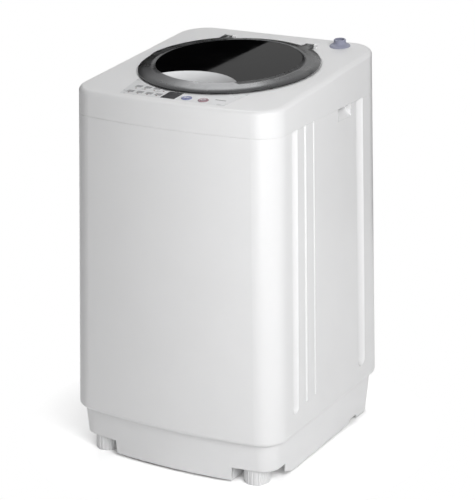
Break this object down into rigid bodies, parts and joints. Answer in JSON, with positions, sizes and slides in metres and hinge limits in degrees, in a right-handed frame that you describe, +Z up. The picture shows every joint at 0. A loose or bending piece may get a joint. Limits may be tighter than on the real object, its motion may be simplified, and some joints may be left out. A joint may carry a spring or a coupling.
{
  "type": "portable washing machine",
  "caption": "Small top-loading washing machine: white fluted cabinet, round smoked lid on a sloping top, control strip, sprung tub, spin basket, pulsator and belt drive.",
  "frame": {"origin": "on the floor under the middle of the cabinet's plan", "axes": "+X to the machine's right seen from the front, +Y to its rear, +Z up; the controls are on the -Y side"},
  "size_m": [0.4566, 0.5001, 0.7811],
  "materials": {
    "body_white": "satin moulded white",
    "panel_white": "moulded white, fine grain",
    "lid_grey": "metallic grey lacquer on plastic",
    "window_smoke": "smoked, polished",
    "grip_silver": "silver lacquer on plastic, satin",
    "overlay_silver": "printed film, satin",
    "display_dark": "tinted, glossy",
    "lens_clear": "light-guide lens",
    "button_blue": "gloss with a pale ring",
    "button_red": "gloss with a pale ring",
    "inlet_lilac": "moulded grey-lilac",
    "inner_white": "moulded polypropylene",
    "board_green": "lacquered circuit board",
    "rubber_dark": "moulded rubber",
    "cup_grey": "glass-filled plastic",
    "steel_bright": "zinc-plated steel",
    "basket_steel": "stainless, brushed",
    "case_alloy": "die-cast, bead-blasted",
    "motor_grey": "sprayed grey enamel",
    "capacitor_shell": "moulded case",
    "magnet_dark": "sintered, coated"
  },
  "bodies": {
    "cabinet": {"cabinet_shell": "body_white", "service_cover": "panel_white", "case_screws": "steel_bright", "base": "body_white", "top_cover": "body_white", "control_overlay": "overlay_silver", "display_window": "display_dark", "indicator_lights": "lens_clear", "control_box": "inner_white", "control_board": "board_green", "lid_switch": "inner_white", "hinge_pins": "steel_bright", "water_inlet": "inlet_lilac", "inlet_strainer": "inner_white", "inlet_valve": "inner_white", "water_spout": "inner_white", "hanger_brackets": "steel_bright", "rod_seats": "rubber_dark", "suspension_rods": "steel_bright", "suspension_springs": "steel_bright", "drain_hose": "rubber_dark", "drain_spigot": "inner_white", "cord_gland": "rubber_dark", "capacitor": "capacitor_shell"},
    "front_left_foot": {"foot_front_left": "panel_white"},
    "front_right_foot": {"foot_front_right": "panel_white"},
    "rear_left_foot": {"foot_rear_left": "panel_white"},
    "rear_right_foot": {"foot_rear_right": "panel_white"},
    "start_key": {"start_button": "button_blue"},
    "power_key": {"power_button": "button_red"},
    "lid": {"lid_frame": "lid_grey", "lid_window": "window_smoke", "lid_grip": "grip_silver", "lid_bumpers": "rubber_dark", "lid_magnet": "magnet_dark"},
    "tub": {"outer_tub": "inner_white", "tub_cover": "inner_white", "damper_cups": "cup_grey", "motor_plate": "steel_bright", "gear_case": "case_alloy", "shaft_bearing": "steel_bright", "tub_seal": "rubber_dark", "drive_motor": "motor_grey", "drive_belt": "rubber_dark", "drain_valve": "inner_white", "drain_actuator": "motor_grey", "level_sensor": "inner_white", "air_hose": "rubber_dark"},
    "motor_rotor": {"motor_shaft": "steel_bright", "motor_pulley": "case_alloy"},
    "basket": {"spin_basket": "basket_steel", "balance_ring": "inner_white", "basket_base": "inner_white", "lint_filter": "inner_white", "spin_tube": "steel_bright"},
    "agitator": {"pulsator": "inner_white", "pulsator_screw": "steel_bright", "wash_shaft": "steel_bright", "drive_pulley": "case_alloy"},
    "pull_rod": {"drain_pull_rod": "steel_bright"}
  },
  "joints": [
    {"name": "lid_hinge", "type": "hinge", "parent": "cabinet", "child": "lid", "pos_m": [0, 0.16775, 0.76809], "axis": [-1, 0, 0], "range_deg": [0, 100]},
    {"name": "start_press", "type": "slide", "parent": "cabinet", "child": "start_key", "axis": [0, 0.0839, -0.9965], "range_m": [0, 0.0012], "stiffness_N_per_m": 400},
    {"name": "power_press", "type": "slide", "parent": "cabinet", "child": "power_key", "axis": [0, 0.0839, -0.9965], "range_m": [0, 0.0012], "stiffness_N_per_m": 400},
    {"name": "tub_bounce", "type": "slide", "parent": "cabinet", "child": "tub", "axis": [0, 0, 1], "range_m": [-0.012, 0.012], "stiffness_N_per_m": 10000, "springref_m": 0.01429, "deforming": ["suspension_springs", "drain_hose"]},
    {"name": "basket_spin", "type": "hinge", "parent": "tub", "child": "basket", "pos_m": [0, 0.0067, 0.4], "axis": [0, 0, 1], "continuous": true},
    {"name": "wash_spin", "type": "hinge", "parent": "tub", "child": "agitator", "pos_m": [0, 0.0067, 0.2], "axis": [0, 0, 1], "continuous": true},
    {"name": "motor_spin", "type": "hinge", "parent": "tub", "child": "motor_rotor", "pos_m": [-0.1, 0.0667, 0.1], "axis": [0, 0, 1], "continuous": true},
    {"name": "drain_pull", "type": "slide", "parent": "tub", "child": "pull_rod", "axis": [0, -1, 0], "range_m": [0, 0.01], "stiffness_N_per_m": 300},
    {"name": "front_left_foot_screw", "type": "slide", "parent": "cabinet", "child": "front_left_foot", "axis": [0, 0, -1], "range_m": [0, 0.012]},
    {"name": "front_right_foot_screw", "type": "slide", "parent": "cabinet", "child": "front_right_foot", "axis": [0, 0, -1], "range_m": [0, 0.012]},
    {"name": "rear_left_foot_screw", "type": "slide", "parent": "cabinet", "child": "rear_left_foot", "axis": [0, 0, -1], "range_m": [0, 0.012]},
    {"name": "rear_right_foot_screw", "type": "slide", "parent": "cabinet", "child": "rear_right_foot", "axis": [0, 0, -1], "range_m": [0, 0.012]}
  ],
  "couplings": [
    {"joint": "motor_spin", "follows": "wash_spin", "ratio": 3.5}
  ]
}
